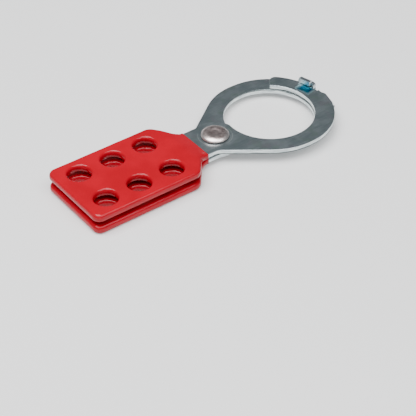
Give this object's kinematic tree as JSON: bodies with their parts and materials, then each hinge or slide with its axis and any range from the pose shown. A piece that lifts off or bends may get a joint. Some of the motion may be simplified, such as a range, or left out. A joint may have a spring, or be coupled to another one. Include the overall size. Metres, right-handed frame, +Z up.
{
  "type": "lockout hasp",
  "caption": "Two riveted steel jaws that close into a ring, with red vinyl-dipped handles pierced for padlock shackles and hooked tabs at the jaw ends.",
  "frame": {"origin": "middle of the base of the closed hasp's box, on the surface it lies on", "axes": "+Y along the tool from the handles to the jaws, +X across to the upper half's arm, +Z up along the rivet"},
  "size_m": [0.053, 0.1256, 0.0093],
  "materials": {
    "zinc_steel": "bright zinc plate, slightly blue",
    "red_vinyl": "glossy dipped vinyl",
    "rivet_steel": "plain peened steel"
  },
  "bodies": {
    "lower_half": {"lower_jaw_plate": "zinc_steel", "lower_grip_coating": "red_vinyl"},
    "upper_half": {"upper_jaw_plate": "zinc_steel", "upper_grip_coating": "red_vinyl", "pivot_rivet": "rivet_steel"}
  },
  "joints": [
    {"name": "jaw_pivot", "type": "hinge", "parent": "lower_half", "child": "upper_half", "pos_m": [0, 0.00647, 0.00465], "axis": [0, 0, -1], "range_deg": [-3, 60]}
  ]
}
